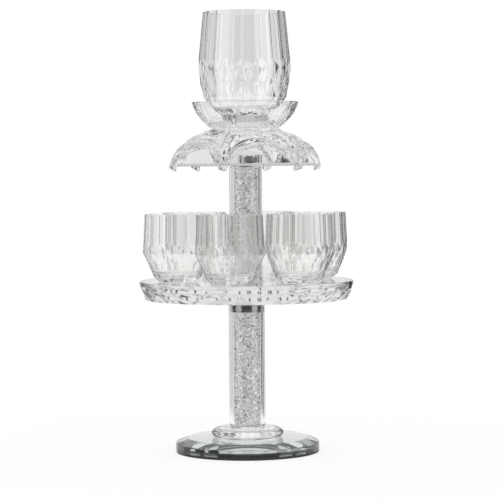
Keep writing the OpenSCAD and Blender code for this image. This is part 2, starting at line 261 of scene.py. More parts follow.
def rescale(tree, value, start, stop, low=0.0, high=1.0, curve="LINEAR"):
    """Value carried over from the range start to stop to the range low to high."""
    ends = {"From Min": start, "From Max": stop, "To Min": low, "To Max": high}
    node = add_node(tree, "ShaderNodeMapRange", {"Value": value, **ends}, interpolation_type=curve)
    return node.outputs["Result"]


def read_mark(tree, name):
    """Value that a piece keeps under a name."""
    return add_node(tree, "ShaderNodeAttribute", {}, attribute_name=name).outputs["Fac"]


def new_material(name):
    """Node material, with its tree and its Principled shader's inputs."""
    material = bpy.data.materials.new(name)
    material.use_nodes = True
    tree = material.node_tree
    return material, tree, tree.nodes["Principled BSDF"].inputs


def make_polish_group():
    """Group that gives the faint unevenness of a polished surface: a tint, a gloss and a wave."""
    group = bpy.data.node_groups.new("polish", "ShaderNodeTree")
    for way, names in (("INPUT", ("Tint A", "Tint B", "Gloss Low", "Gloss High", "Scale")),
                       ("OUTPUT", ("Color", "Roughness", "Height"))):
        for name in names:
            kind = "NodeSocketColor" if name in ("Tint A", "Tint B", "Color") else "NodeSocketFloat"
            group.interface.new_socket(name, in_out=way, socket_type=kind)
    given = group.nodes.new("NodeGroupInput").outputs
    place = group.nodes.new("ShaderNodeTexCoord").outputs["Object"]
    broad = add_node(group, "ShaderNodeTexNoise", {"Vector": place, "Scale": given["Scale"], "Detail": 2})
    fine_scale = reckon(group, "MULTIPLY", given["Scale"], 9)
    fine = add_node(group, "ShaderNodeTexNoise", {"Vector": place, "Scale": fine_scale, "Detail": 4})
    tint = blend(group, broad.outputs["Fac"], given["Tint A"], given["Tint B"])
    gloss = rescale(group, fine.outputs["Fac"], 0.3, 0.7, given["Gloss Low"], given["Gloss High"])
    add_node(group, "NodeGroupOutput", {"Color": tint, "Roughness": gloss, "Height": broad.outputs["Fac"]})
    return group


POLISH = make_polish_group()
# Share of its wave that glass loses where it is frosted
FROST_CALM = 0.8
# How fast thick glass takes on its depth colour
DEPTH_DENSITY = 3
# Tone above which a chip shines as if silvered
SHINY_TONE = 0.78


def place_polish(tree, shader, tints, gloss, scale, bump, relief=0.5):
    """Places the polish group in a material, joins it to the shader and gives the group's outputs."""
    values = {"Tint A": (*tints[0], 1), "Tint B": (*tints[1], 1), "Gloss Low": gloss[0],
              "Gloss High": gloss[1], "Scale": scale}
    polish = add_node(tree, "ShaderNodeGroup", values, node_tree=POLISH).outputs
    tree.links.new(polish["Color"], shader["Base Color"])
    tree.links.new(polish["Roughness"], shader["Roughness"])
    if bump:
        sockets = {"Strength": bump, "Distance": relief * MM, "Height": polish["Height"]}
        wave = add_node(tree, "ShaderNodeBump", sockets)
        tree.links.new(wave.outputs["Normal"], shader["Normal"])
    return polish


def make_glass(name, tints, gloss=(0.0, 0.02), ior=1.52, bump=0.05, scale=40, depth=None, frost=0,
               edge=None, relief=0.5):
    """Clear polished glass with a faint tint and the slight wave of hand polishing.

    depth is the colour that light takes on a long way through the glass; frost is the roughness added
    where the frost mark is 1, and there the wave is calmer too; edge is painted shade, the near-black tint
    that the glass takes where its painted edge shade mark is 1; relief is the height of the wave in
    millimetres.
    """
    material, tree, shader = new_material(name)
    shader["Transmission Weight"].default_value = 1
    shader["IOR"].default_value = ior
    polish = place_polish(tree, shader, tints, gloss, scale, bump, relief)
    if frost:
        mask = read_mark(tree, "frost")
        tree.links.new(reckon(tree, "MULTIPLY_ADD", mask, frost, polish["Roughness"]), shader["Roughness"])
        calm = reckon(tree, "MULTIPLY_ADD", mask, -FROST_CALM, 1)
        height = reckon(tree, "MULTIPLY", calm, polish["Height"])
        tree.links.new(height, tree.nodes["Bump"].inputs["Height"])
    # Painted shade: the glass turns near-black where the edge shade mark is 1
    if edge:
        tint = blend(tree, read_mark(tree, "painted_edge_shade"), polish["Color"], (*edge, 1))
        tree.links.new(tint, shader["Base Color"])
    if depth:
        sockets = {"Color": (*depth, 1), "Density": DEPTH_DENSITY}
        absorb = add_node(tree, "ShaderNodeVolumeAbsorption", sockets)
        tree.links.new(absorb.outputs["Volume"], tree.nodes["Material Output"].inputs["Volume"])
    return material


def make_metal(name, tints, gloss, scale, bump=0.0):
    """Metal with uneven gloss."""
    material, tree, shader = new_material(name)
    shader["Metallic"].default_value = 1
    place_polish(tree, shader, tints, gloss, scale, bump)
    return material


def make_matt(name, tints, gloss, scale):
    """Matt surface with uneven gloss, such as lacquer or ground glass."""
    material, tree, shader = new_material(name)
    place_polish(tree, shader, tints, gloss, scale, bump=0.1)
    return material


def make_chip_glass():
    """Crushed crystal: bright facets, each chip with its own tone from the tone mark."""
    material, tree, shader = new_material("crushed_crystal")
    tone = read_mark(tree, "tone")
    tree.links.new(rescale(tree, tone, 0, 1, 0.6, 0.95), shader["Base Color"])
    tree.links.new(reckon(tree, "GREATER_THAN", tone, SHINY_TONE), shader["Metallic"])
    shader["Roughness"].default_value = 0.08
    shader["Specular IOR Level"].default_value = 0.4
    return material


def make_felt():
    """Short felt: mottled fibres, matt."""
    material, tree, shader = new_material("felt")
    place = tree.nodes.new("ShaderNodeTexCoord").outputs["Object"]
    noise = add_node(tree, "ShaderNodeTexNoise", {"Vector": place, "Scale": 1800, "Detail": 6})
    fibre = noise.outputs["Fac"]
    shades = blend(tree, fibre, (0.05, 0.055, 0.055, 1), (0.13, 0.14, 0.14, 1))
    pile = add_node(tree, "ShaderNodeBump", {"Strength": 0.6, "Distance": 0.4 * MM, "Height": fibre})
    tree.links.new(shades, shader["Base Color"])
    tree.links.new(pile.outputs["Normal"], shader["Normal"])
    shader["Roughness"].default_value = 0.95
    return material


CRYSTAL = make_glass("cut_crystal", ((0.965, 0.965, 0.96), (0.985, 0.983, 0.978)), gloss=(0.0, 0.003),
                     bump=0.02)
CUP_GLASS = make_glass("cup_glass", ((0.985, 0.985, 0.98), (0.995, 0.994, 0.99)), gloss=(0.0, 0.003),
                       bump=0.02)
CAST_CRYSTAL = make_glass("cast_crystal", ((0.9, 0.9, 0.895), (0.93, 0.928, 0.922)), bump=1, scale=60,
                          frost=0.03, relief=1.6)
BOWL_GLASS = make_glass("bowl_glass", ((0.93, 0.93, 0.925), (0.955, 0.953, 0.947)), bump=0.6, scale=140,
                        frost=0.25, relief=0.8)
TRAY_GLASS = make_glass("tray_glass", ((0.8, 0.8, 0.795), (0.85, 0.848, 0.843)), gloss=(0.005, 0.035))
TUBE_GLASS = make_glass("tube_glass", ((0.975, 0.975, 0.972), (0.99, 0.989, 0.986)), gloss=(0.04, 0.09))
FROSTED = make_glass("frosted_seat", ((0.74, 0.74, 0.735), (0.8, 0.8, 0.79)), gloss=(0.12, 0.3), bump=0.3,
                     scale=300)
# Base glass; its near-black edge tint is painted shade on the bands of the base's edge
BASE_GLASS_AND_EDGE_SHADE = make_glass("base_glass_and_painted_edge_shade", ((0.88, 0.885, 0.885), (0.91, 0.915, 0.915)),
                        depth=(0.5, 0.52, 0.517), edge=(0.015, 0.019, 0.0185))
SEAL = make_glass("clear_seal", ((0.88, 0.89, 0.89), (0.93, 0.94, 0.94)), gloss=(0.05, 0.15), ior=1.45)
CHIPS = make_chip_glass()
CHROME = make_metal("polished_collar", ((0.36, 0.36, 0.37), (0.48, 0.48, 0.49)), (0.05, 0.12), 300)
STEEL = make_metal("plated_steel", ((0.32, 0.32, 0.33), (0.46, 0.46, 0.47)), (0.25, 0.45), 500, 0.1)
SILVERING = make_metal("silvering", ((0.95, 0.963, 0.963), (0.97, 0.98, 0.98)), (0.0, 0.012), 60)
GROUND = make_matt("ground_rim", ((0.5, 0.5, 0.495), (0.62, 0.62, 0.612)), (0.45, 0.6), 300)
# Dark paint of the mirror's back; on its rim beside the felt the same dark is painted shade
BACKING_AND_RIM_SHADE = make_matt("backing_paint_and_painted_rim_shade", ((0.012, 0.016, 0.016), (0.03, 0.036, 0.035)), (0.3, 0.5), 400)
FELT = make_felt()


# Cups and tray

# Columns of a round wall for each cut panel beside it
PANEL_STEPS = 8


def ring_bands(panels, rings):
    """Faces between rings of corners, outwards: four-sided where a ring keeps its turn, else triangles."""
    i = np.arange(panels)
    j = (i + 1) % panels
    faces = []
    for k in range(len(rings) - 1):
        a, b = k * panels, (k + 1) * panels
        turn = rings[k + 1][2] - rings[k][2]
        if turn == 0:
            faces += np.stack([a + i, a + j, b + j, b + i], axis=1).tolist()
        elif turn > 0:
            faces += np.stack([a + i, a + j, b + i], axis=1).tolist()
            faces += np.stack([a + j, b + j, b + i], axis=1).tolist()
        else:
            faces += np.stack([a + i, a + j, b + j], axis=1).tolist()
            faces += np.stack([a + i, b + j, b + i], axis=1).tolist()
    return faces


def cut_shape(panels, rings, section, flat_from=0.0, flat_to=1.0, flatness=0.0):
    """Cut glass: facets outside, closed from the last ring to the axis by a smooth wall.

    Facets: each ring (radius, height, turn in panels) has one corner a panel, at angle
    (i + turn) / panels of a turn, and flat facets join the corners of neighbouring rings.
    Wall: the half section is carried round. With f the angle from a panel's middle, a radius s becomes
    s + k (s / cos f - s), where k rises from 0 at the height flat_from to flatness at flat_to, so that the
    wall follows the panels above and is round below.
    """
    rings = np.asarray(rings, float)
    section = np.asarray(section, float)
    i = np.arange(panels)
    outside = round_grid(rings[:, :1], TURN * (i + rings[:, 2:]) / panels, rings[:, 1:2])
    columns = panels * PANEL_STEPS
    a = angles_round(columns)
    f = a % (TURN / panels) - TURN / panels / 2
    s, z = section[:-1, :1], section[:-1, 1:]
    k = flatness * soft_step((z - flat_from) / (flat_to - flat_from))
    wall = round_grid(s * (1 + k * (1 / np.cos(f) - 1)), a, z)
    points = np.concatenate([outside.reshape(-1, 3), wall.reshape(-1, 3), [[0, 0, section[-1, 1]]]])
    count = panels * len(rings)
    pole = len(points) - 1
    faces = ring_bands(panels, rings)
    faces.append(i[::-1].tolist())
    rim = count - panels + np.stack([i, (i + 1) % panels], axis=1)
    rim_back = count + (i[:, None] * PANEL_STEPS + np.arange(PANEL_STEPS, -1, -1)) % columns
    faces += np.concatenate([rim, rim_back], axis=1).tolist()
    faces += (count + ring_faces(len(s), columns, False)).tolist()
    faces += fan_faces(pole, pole - columns, columns, True).tolist()
    return points, faces


def cup_shape():
    """Small cup: upright panels down to a zigzag, diamonds under them and a taper to the foot."""
    rings = [(12.2, 0, 0), (16.2, 3.4, 0), (19.88, 12, 0), (23.3, 20, 0.5), (22.97, 26.5, 0),
             (22, 45.54, 0)]
    wall = [(19.28, 45.54), (19.7, 36), (20.23, 26.5), (20.55, 20), (18.2, 14), (17.35, 11.4)]
    floor = arc((12.9, 10.2), 4.2, -8, -82, 9)
    hollow = np.concatenate([wall, floor, [(9, 6.0), (0, 5.9)]])
    return cut_shape(16, rings, hollow, 12, 20, flatness=0.4)


def goblet_shape():
    """Main cup: upright panels with points, two rows of diamonds and a rounded heel."""
    rings = [(16.8, 0, 0), (21.2, 3.6, 0), (27.88, 11.5, 0.5), (30.33, 21.5, 0), (31.14, 31.5, 0.5),
             (31.3, 37.6, 0), (28.1, 69.5, 0)]
    wall = [(24.67, 69.5), (25.8, 58), (26.95, 46.5), (27.82, 37.6), (27.66, 31.5), (26.8, 21.5),
            (24.4, 11.5)]
    floor = arc((18.4, 9.4), 4.4, -8, -88, 9)
    hollow = np.concatenate([wall, floor, [(9, 4.95), (0, 4.9)]])
    return cut_shape(18, rings, hollow, 6, 20, flatness=0.6)


def tray_shape():
    """Solid tray: triangles between three rings of corners, with a round lip and a flat top above them."""
    rings = [(68.8, LIFT, 0), (70.9, 4.8, 0.5), (72.6, 9.6, 0)]
    top = 12.6 - LIFT
    return cut_shape(20, rings, [(72.6, 9.6), (72.6, top - 0.6), (72.0, top), (0, top)])


add_piece("main_cup", raised(goblet_shape(), GOBLET_Z + LIFT), CRYSTAL, "main_cup",
          ["main_cup"], bevel=0.6)
for number in range(SPOUTS):
    angle = FIRST_CUP + TURN * number / SPOUTS
    place = (CUP_RING * math.cos(angle), CUP_RING * math.sin(angle), CUP_Z + LIFT)
    name = "cup_%d" % (number + 1)
    add_piece(name, moved(cup_shape(), place, angle), CUP_GLASS, name, [name], bevel=0.45)
add_piece("tray", raised(tray_shape(), TRAY_Z), TRAY_GLASS, "stand", ["tray"], bevel=0.15)


# Base and stem

# Heights up the base's edge where its bands of painted shade end, the darkness of each (the lighter
# # middle band is a painted light line), and that of the edge above them
EDGE_BANDS = (0.9, 1.4, 3.5)
EDGE_PAINTED_SHADES = (1, 0.4, 1)
UPPER_PAINTED_SHADE = 0.2
# Faces of the base that point up or down by more than this stay clear of the painted shade
FLAT_FACING = 0.8
# Faces of the mirror with their middle below this height are painted
SILVER_Z = 1.19


def base_shape():
    """Base disc with a bevel of flat facets.

    At angle f from a facet's middle the polished edge ends at e + R (1 - cos f) / slope, where the
    facet's plane cuts the cylinder, and the top ends at (R - width) / cos f. Rings up the edge part its
    bands of painted shade. The underside sinks a hair into the silvering, which so lies against the glass
    with no air between.
    """
    facets, steps = 14, 16
    radius, edge, top, width, chamfer, middle = 48.8, 5.3, 8.6, 8.2, 0.3, 20
    slope = width / (top - edge)
    columns = facets * steps
    a = angles_round(columns)
    pitch = TURN / facets
    f = (a % pitch) - pitch / 2
    one = np.ones(columns)
    r = np.array([middle * one, (radius - chamfer) * one, *[radius * one] * 5, (radius - width) / np.cos(f),
                  middle * one])
    z = np.array([-SINK * one, -SINK * one, chamfer * one, *[height * one for height in EDGE_BANDS],
                  edge + radius * (1 - np.cos(f)) / slope, top * one, top * one])
    return surface(round_grid(r, a, z), [0, 0, -SINK], [0, 0, top])


def foot_shape():
    """Foot: a flat top, and a shoulder that is a quarter of an ellipse."""
    shoulder = np.array([17.0, 3.0]) + arc((0, 0), 1.0, 0, 90, 20) * np.array([7.5, 4.4])
    shoulder[:, 1] -= 2 * LIFT
    section = np.concatenate([[(0, 0), (22.6, 0), (23.2, 0.4)], shoulder, [(0, shoulder[-1, 1])]])
    return turned(section, 128)


def tube_shape(outer, bore, length, step_radius=None, step_height=0.0):
    """Thick tube with polished ends; the upper end may hold a wider counterbore."""
    chamfer = 0.4
    length -= LIFT
    section = [(bore, LIFT), (outer - chamfer, LIFT), (outer, chamfer), (outer, length - chamfer),
               (outer - chamfer, length)]
    if step_radius:
        step = length - step_height
        section += [(step_radius, length), (step_radius, step), (bore, step)]
    else:
        section += [(bore, length)]
    return turned(section, 96)


def thread_shape(length, radius=4.0, depth=0.4, pitch=1.25):
    """Threaded stud: the radius falls and rises with the phase z / pitch - angle / turn."""
    z = spread(0, length, int(length / pitch * 5) + 1)[:, None]
    a = angles_round(24)
    phase = (z / pitch - a / TURN) % 1
    r = radius - depth * np.abs(2 * phase - 1)
    return surface(round_grid(r, a, z), [0, 0, 0], [0, 0, length])


def nut_shape(height=3.6, width=13.0, hole=4.05):
    """Hex nut: the radius is the smaller of the hexagon's and a cone's that takes off the corners."""
    a = angles_round(72)
    f = (a % (TURN / 6)) - TURN / 12
    corner = width / 2 / np.cos(f)
    rim = np.minimum(corner, width / 2 * 1.02)
    drop = (corner - rim) * 0.6
    one = np.ones_like(a)
    r = np.array([hole * one, rim, corner, corner, rim, hole * one])
    z = np.array([0 * one, 0 * one, drop, height - drop, height * one, height * one])
    return surface(round_grid(r, a, z))


def collar_shape():
    """Metal collar: flat lands between three narrow grooves with rounded lips.

    The radius falls by a soft step of the distance from the nearest groove's middle.
    """
    height, outer, chamfer, grooves, depth = 8.2, 11.05, 0.3, 3, 0.4
    z = spread(chamfer, height - chamfer, 120)
    from_groove = np.abs((z * grooves / height) % 1 - 0.5) * height / grooves
    side = np.stack([outer - depth * soft_step((0.7 - from_groove) / 0.4), z], axis=1)
    end = outer - chamfer
    return turned(np.concatenate([[(0, 0), (end, 0)], side, [(end, height), (0, height)]]), 96)


def mirror_shape():
    """Silvered disc under the base, painted dark behind; its dark rim down beside the felt is painted
    shade.
    """
    return turned([(0, 0.84), (47.5, 0.84), (47.5, 0.1), (48.4, 0.1), (48.5, 0.2), (48.5, 1.15),
                   (48.45, 1.2), (0, 1.2)], 192)


mirror = add_piece("base_mirror", mirror_shape(), SILVERING, "stand", ["base_mirror"])
# Dark back paint below, and painted shade on the rim beside the felt
second_finish(mirror, BACKING_AND_RIM_SHADE, face_rows(mirror, "center")[:, 2] < SILVER_Z * MM)
base = add_piece("base_disc", raised(base_shape(), BASE_Z), BASE_GLASS_AND_EDGE_SHADE, "stand", ["base_disc"],
                 bevel=0.2)
# Painted shade in bands up the base's edge, with a lighter painted band between them, kept as a face mark
height = face_rows(base, "center")[:, 2] / MM - BASE_Z
painted_edge_shade = np.select([height < end for end in EDGE_BANDS], EDGE_PAINTED_SHADES, UPPER_PAINTED_SHADE)
mark(base, "painted_edge_shade", painted_edge_shade * (np.abs(face_rows(base, "normal")[:, 2]) < FLAT_FACING), "FACE")
add_piece("stem_foot", raised(foot_shape(), FOOT_Z + LIFT), CRYSTAL, "stand", ["stem_foot"],
          crease=40)
add_piece("lower_tube", raised(tube_shape(12.2, LOWER_BORE, 85.8, 11.15, 8.2), LOWER_TUBE_Z), TUBE_GLASS,
          "stand", ["lower_tube"], crease=40)
add_piece("upper_tube", raised(tube_shape(11.1, UPPER_BORE, 76.3), UPPER_TUBE_Z), TUBE_GLASS, "stand",
          ["upper_tube"], crease=40)
add_piece("plate_stud", raised(thread_shape(STUD_TOP - STUD_Z), STUD_Z), STEEL, "stand",
          ["plate_stud"], crease=60)
add_piece("top_nut", raised(nut_shape(), PLATE_TOP + WASHER_HEIGHT), STEEL, "stand", ["top_nut"])
add_piece("lower_collar", raised(collar_shape(), COLLAR_Z), CHROME, "stand", ["lower_collar"],
          crease=50)


# Crushed crystal

# Layers of chips: how many, how deep under the bore at least and at most, and their largest half size
CHIP_LAYERS = ((2400, 0.3, 1.0, 1.35), (1000, 1.2, 1.9, 1.4))
# Room left for a chip at each end of its tube
CHIP_ROOM = 1.2
# The plain core behind the layers: its hole, its depth under the bore, its room at the ends and its tone
CORE_HOLE, CORE_DEPTH, CORE_ROOM, CORE_TONE = 4.6, 1.7, 0.1, 0.5


def chip_shape(count, low, high, inner, outer, size):
    """Loose chips packed in a tube: octahedra of random size, turn and place, as whole arrays."""
    corners = np.array([[1, 0, 0], [-1, 0, 0], [0, 1, 0], [0, -1, 0], [0, 0, 1], [0, 0, -1]], float)
    cells = np.array([[0, 2, 4], [2, 1, 4], [1, 3, 4], [3, 0, 4],
                      [2, 0, 5], [1, 2, 5], [3, 1, 5], [0, 3, 5]])
    scale = rng.uniform(0.65, 1.0, (count, 1, 3)) * rng.uniform(size * 0.6, size, (count, 1, 1))
    skew = rng.uniform(-0.3, 0.3, (count, 6, 3)) + 1
    q = rng.normal(size=(count, 4))
    q /= np.linalg.norm(q, axis=1, keepdims=True)
    w, x, y, z = q.T
    turn = np.array([[1 - 2 * (y * y + z * z), 2 * (x * y - z * w), 2 * (x * z + y * w)],
                     [2 * (x * y + z * w), 1 - 2 * (x * x + z * z), 2 * (y * z - x * w)],
                     [2 * (x * z - y * w), 2 * (y * z + x * w), 1 - 2 * (x * x + y * y)]])
    local = np.einsum("abn,nkb->nka", turn, corners * scale * skew)
    a = rng.uniform(0, TURN, count)
    r = rng.uniform(inner, outer, count)
    height = rng.uniform(low, high, count)
    centre = np.stack([r * np.cos(a), r * np.sin(a), height], axis=1)
    points = (local + centre[:, None]).reshape(-1, 3)
    faces = (cells[None] + 6 * np.arange(count)[:, None, None]).reshape(-1, 3).tolist()
    return points, faces


def add_chips(name, low, high, bore):
    """One tube's filling: an outer layer that shows, an inner one behind it, and a plain core.

    Points that would reach into the tube's wall or past its ends are drawn back to them.
    """
    first, last = low + CHIP_ROOM, high - CHIP_ROOM
    points, faces = joined(*[chip_shape(count, first, last, bore - most, bore - least, size)
                             for count, least, most, size in CHIP_LAYERS])
    r = np.hypot(points[:, 0], points[:, 1])
    limit = np.minimum(r, bore - LIFT) / np.maximum(r, 1e-9)
    points[:, :2] *= limit[:, None]
    points[:, 2] = np.clip(points[:, 2], low + LIFT, high - LIFT)
    tones = np.repeat(rng.uniform(0, 1, len(points) // 6), 6)
    inner, outer, foot, head = CORE_HOLE, bore - CORE_DEPTH, low + CORE_ROOM, high - CORE_ROOM
    core = turned([(inner, foot), (outer, foot), (outer, head), (inner, head)], 48)
    piece = add_piece(name, joined((points, faces), core), CHIPS, "stand", [name], crease=1)
    mark(piece, "tone", np.append(tones, np.full(len(core[0]), CORE_TONE)))


add_chips("lower_chips", LOWER_TUBE_Z, COLLAR_Z, LOWER_BORE)
add_chips("upper_chips", UPPER_TUBE_Z, UPPER_CHIPS_TOP, UPPER_BORE)


# Dome

DOME_RADIUS = 52.0
OUTER_ROUND = 33.3
ROUND_Z = -5.5
ROUND_RING = DOME_RADIUS - math.sqrt(OUTER_ROUND ** 2 - ROUND_Z ** 2)
CORE_FLAT = 38.5
POCKET_RADIUS = 8.5
POCKET_TOP = 10.9
REBATE = 47.65
LEDGE = 5.1
ARCH_RADIUS = 25.5
ARCH_Z = -8.1
TIP_HEIGHT = 3.3
SEAT_RADIUS = 22.4
DOME_TOP = 29.0
SOCKET_RADIUS = 8.3
SOCKET_DEPTH = 2.5
EDGE_ROUND = 1.6
# Wine channel: half its width, the width of its sides, its depth, the radius where it starts and its run-in
CHANNEL_HALF, CHANNEL_SIDE, CHANNEL_DEPTH, CHANNEL_START, CHANNEL_RUN = 2.9, 0.9, 1.7, 23.2, 1.6


def rim_height(r, f):
    """Height of the dome's lower edge at radius r and angle f from a spout's middle.

    Between spouts it is a horizontal round arch, z = c + sqrt(R R - y y), with y the distance from the
    arch's middle; at a spout it is a small round tip.
    """
    half = TURN / SPOUTS / 2
    arch_half = math.sqrt(ARCH_RADIUS ** 2 - (TIP_HEIGHT - ARCH_Z) ** 2)
    y = r * np.sin(half - np.abs(f))
    arch = ARCH_Z + np.sqrt(np.maximum(ARCH_RADIUS ** 2 - y ** 2, 0.0))
    s = r * np.sin(np.abs(f))
    tip_half = (DOME_RADIUS * math.sin(half) - arch_half) / math.cos(half)
    tip_radius = (tip_half ** 2 + TIP_HEIGHT ** 2) / (2 * TIP_HEIGHT)
    tip = tip_radius - np.sqrt(np.maximum(tip_radius ** 2 - s ** 2, 0.0))
    return np.where(y < arch_half, arch, np.minimum(tip, TIP_HEIGHT))


def outer_radius(z):
    """Radius of the dome's outside at height z: a round shoulder, upright below its centre."""
    return ROUND_RING + np.sqrt(np.maximum(OUTER_ROUND ** 2 - np.maximum(z - ROUND_Z, 0) ** 2, 0.0))


def edge_height(radius_at, f):
    """Height where a wall meets the lower edge, found by halving between bottom and top."""
    low = np.zeros_like(f)
    high = np.full_like(f, 20.0)
    for _ in range(40):
        middle = (low + high) / 2
        below = middle < rim_height(radius_at(middle), f)
        low = np.where(below, middle, low)
        high = np.where(below, high, middle)
    return (low + high) / 2


def under_height(r, f):
    """Height of the dome's underside: the arches and tips, and the flat that lies on the plate."""
    flat = (LEDGE + LIFT) * soft_step((REBATE + 0.3 - r) / 0.3)
    return np.maximum(rim_height(r, f), flat)


def dome_shape():
    """Dome with spouts: the section from the bowl's seat over the shoulder, round the lower edge, in under
    the arches to the solid middle and down it to the plate, carried round with heights that change with
    the angle. Gives the points, the faces and the frost of each point.
    """
    per_spout = 64
    t = spread(-1, 1, per_spout + 1)[:-1]
    f = np.tile(np.sign(t) * np.abs(t) ** 1.35 * math.pi / SPOUTS, SPOUTS)
    a = np.repeat(FIRST_SPOUT + TURN * np.arange(SPOUTS) / SPOUTS, per_spout) + f
    out_edge = edge_height(outer_radius, f)
    rise, lead = DOME_TOP - ROUND_Z, SEAT_RADIUS - ROUND_RING
    tangent = math.atan2(rise, lead) - math.acos(OUTER_ROUND / math.hypot(rise, lead))
    tangent_r = ROUND_RING + OUTER_ROUND * math.cos(tangent)
    tangent_z = ROUND_Z + OUTER_ROUND * math.sin(tangent)

    # Outside, from the seat down: a straight cone and then the shoulder by equal steps of its angle
    cone = spread(0, 1, 5)[:-1, None]
    cone_r = SEAT_RADIUS + (tangent_r - SEAT_RADIUS) * cone + 0 * f
    cone_z = DOME_TOP + (tangent_z - DOME_TOP) * cone + 0 * f
    low_angle = np.arcsin((out_edge + EDGE_ROUND - ROUND_Z) / OUTER_ROUND)
    u = spread(0, 1, 40)[:, None]
    angle = tangent + (low_angle - tangent) * u
    out_r = np.concatenate([cone_r, ROUND_RING + OUTER_ROUND * np.cos(angle)])
    out_z = np.concatenate([cone_z, ROUND_Z + OUTER_ROUND * np.sin(angle)])

    # Wine channel: a groove with soft sides along each spout's middle
    side = out_r * np.sin(np.abs(f))
    groove = soft_step((CHANNEL_HALF - side) / CHANNEL_SIDE)
    depth = CHANNEL_DEPTH * groove * soft_step((out_r - CHANNEL_START) / CHANNEL_RUN)

    # Lip along each arch: a swell beside the cut, with a shallow hollow behind it
    aside = out_r * np.sin(math.pi / SPOUTS - np.abs(f))
    beside = np.hypot(aside, out_z - ARCH_Z) - ARCH_RADIUS
    swell = 1.0 * np.exp(-(beside / 2.2) ** 2) - 0.9 * np.exp(-((beside - 5.0) / 1.6) ** 2)
    depth = depth - swell * (1 - groove)
    slant = np.arctan2(out_z - ROUND_Z, out_r - ROUND_RING)
    out_r = out_r - depth * np.cos(slant)
    out_z = out_z - depth * np.sin(slant)

    # Lower edge: a quarter round from the outside to the underside
    swing = spread(0, 90, 6)[1:, None] * math.pi / 180
    edge_r = out_r[-1] - EDGE_ROUND * (1 - np.cos(swing))
    edge_z = out_edge + (out_z[-1] - out_edge) * (1 - np.sin(swing))

    # Underside, from the edge in to the solid middle, with a row on each side of the plate's rebate
    core = CORE_FLAT / np.cos(math.pi / SPOUTS - np.abs(f))
    in_from = edge_r[-1]
    step = np.clip((in_from - REBATE) / (in_from - core), 0.15, 0.6)
    near = spread(0, 1, 4)[1:, None] * (step - 0.03)
    far = step + 0.02 + spread(0, 1, 12)[:, None] * (0.98 - step)
    way = np.concatenate([near, far])
    under_r = in_from + (core - in_from) * way
    under_z = under_height(under_r, f)

    # Solid middle, down to the flat that lies on the plate, and the pocket for the nut
    drop = spread(0, 1, 6)[1:, None]
    flat_z = LEDGE + LIFT
    core_r = core + 0 * drop
    core_z = under_z[-1] + (flat_z - under_z[-1]) * drop
    core_z = np.maximum(core_z, np.minimum(flat_z + 0.25, under_z[-1]))
    sole_r = core - 0.4
    pocket = np.array([(22, flat_z), (POCKET_RADIUS, flat_z), (POCKET_RADIUS, POCKET_TOP),
                       (2, POCKET_TOP)])[:, :, None] + 0 * f

    # Seat under the bowl, with the socket for its spigot
    socket_z = DOME_TOP - SOCKET_DEPTH
    seat = np.array([(SOCKET_RADIUS, socket_z), (SOCKET_RADIUS, DOME_TOP)])[:, :, None] + 0 * f
    r = np.concatenate([seat[:, 0], out_r, edge_r, under_r, core_r, [sole_r], pocket[:, 0]])
    z = np.concatenate([seat[:, 1], out_z, edge_z, under_z, core_z, [flat_z + 0 * f], pocket[:, 1]])
    # The rows run from the top down, so the columns run backwards to keep the faces outwards
    grid = round_grid(r, a, np.maximum(z, 0.02))[:, ::-1]
    matt = np.zeros(grid.shape[:2])
    matt[len(seat) + len(out_r) + len(edge_r) + len(under_r):] = 1
    points, faces = surface(grid, [0, 0, socket_z], [0, 0, POCKET_TOP])
    return points, faces, np.append(matt.ravel(), [0, 1])


points, faces, frost = dome_shape()
dome = add_piece("spout_dome", raised((points, faces), DOME_Z), CAST_CRYSTAL, "dome", ["spout_dome"],
                 crease=50)
mark(dome, "frost", frost)

# Radius where the plate's rim begins to round off, and where its ground finish starts
PLATE_ROUND = 45.4
PLATE_GROUND = 46.0


def plate_shape():
    """Thin glass plate with a hole for the stud; its rim is half of a long ellipse."""
    top = 1.7 - LIFT
    middle = np.array([PLATE_ROUND, 0.85])
    edge = middle + arc((0, 0), 1.0, -80, 80, 15) * np.array([1.83, top - middle[1]])
    return turned(np.concatenate([[(STUD_HOLE, LIFT), (PLATE_ROUND, LIFT)], edge,
                                  [(PLATE_ROUND, top), (STUD_HOLE, top)]]), 160)


plate = add_piece("dome_plate", raised(plate_shape(), PLATE_Z), CRYSTAL, "stand", ["dome_plate"],
                  crease=40)
second_finish(plate, GROUND, np.hypot(*face_rows(plate, "center")[:, :2].T) > PLATE_GROUND * MM)


# Bowl

# The bowl's frosted foot: its height and its radius
FOOT_TOP, FOOT_RADIUS = 4.9, 22.5
# Drain holes: their radius and the radius of the ring they stand on
DRAIN_RADIUS, DRAIN_RING = 1.5, 24.8


def bowl_section():
    """Half section of the bowl: a spigot, a floor, and a side between two arcs with a rounded lip."""
    foot, rim, height, bulge, wall, floor = 22.4, 36.3, 17.8, 2.4, 3.0, 4.8
    run = np.array([rim - foot, height])
    chord = np.linalg.norm(run)
    radius = ((chord / 2) ** 2 + bulge ** 2) / (2 * bulge)
    centre = np.array([foot, 0]) + run / 2 + np.array([-run[1], run[0]]) / chord * (radius - bulge)

    def side(offset, z):
        return np.stack([centre[0] + np.sqrt((radius - offset) ** 2 - (z - centre[1]) ** 2), z], axis=1)

    lip = 0.5
    outside = side(0.0, spread(0.0, height - lip, 28))
    inside = side(wall, spread(height - lip, floor + 1.2, 24))
    out_lip = arc((outside[-1, 0] - lip, height - lip), lip, 15, 90, 5)
    in_lip = arc((inside[0, 0] + lip, height - lip), lip, 90, 165, 5)
    corner = np.array([(inside[-1, 0] - 0.8, floor + 0.5), (inside[-1, 0] - 1.7, floor + 0.1)])
    spigot = [(0, -2.2), (7.6, -2.2), (8.0, -1.8), (8.0, LIFT), (22.0, LIFT)]
    return np.concatenate([spigot, outside[1:], out_lip, in_lip, inside, corner,
                           [(inside[-1, 0] - 2.6, floor), (0, floor)]])


